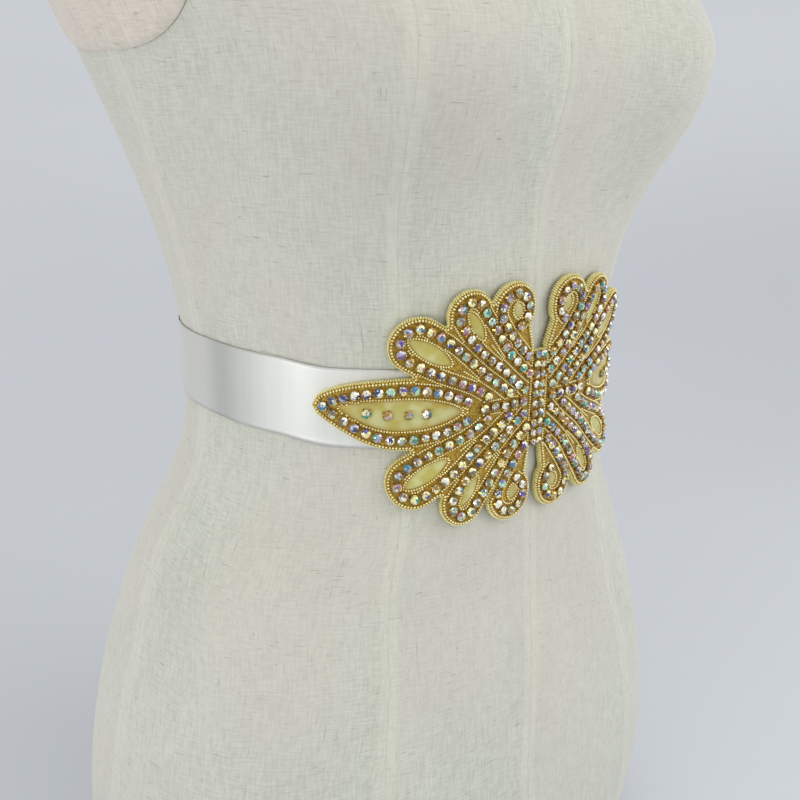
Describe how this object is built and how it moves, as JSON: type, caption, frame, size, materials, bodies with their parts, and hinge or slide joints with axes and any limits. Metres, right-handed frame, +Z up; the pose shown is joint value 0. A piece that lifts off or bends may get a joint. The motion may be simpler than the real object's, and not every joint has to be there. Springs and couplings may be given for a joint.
{
  "type": "bridal sash on dress form",
  "caption": "Satin ribbon sash tied at the back of a limbless dress form, with a rhinestone and bead applique of leaves and petals at the front of the waist.",
  "frame": {"origin": "on the dress form's flat underside, under the middle of the waist", "axes": "+Z up the form, -Y to the front where the applique is, -X to the wearer's right"},
  "size_m": [0.369, 0.2655, 0.775],
  "materials": {
    "linen": "plain linen weave with slubs, matt",
    "satin": "ivory satin ribbon, soft gloss",
    "gold_thread": "gold seed beads and thread",
    "stones": "cut rhinestones in gold cups"
  },
  "bodies": {
    "root": {"dress_form": "linen", "armhole_plate_right": "linen", "armhole_plate_left": "linen", "ribbon_right": "satin", "ribbon_left": "satin", "ribbon_knot": "satin", "ribbon_tail_right": "satin", "ribbon_tail_left": "satin", "applique_backing": "gold_thread", "column_stones": "stones", "leaf_right": "stones", "leaf_left": "stones", "midrib_right": "stones", "midrib_left": "stones", "petal_1_upper_right": "stones", "petal_1_upper_left": "stones", "petal_1_lower_right": "stones", "petal_1_lower_left": "stones", "petal_2_upper_right": "stones", "petal_2_upper_left": "stones", "petal_2_lower_right": "stones", "petal_2_lower_left": "stones", "curl_upper_right": "stones", "curl_upper_left": "stones", "curl_lower_right": "stones", "curl_lower_left": "stones"}
  },
  "joints": []
}
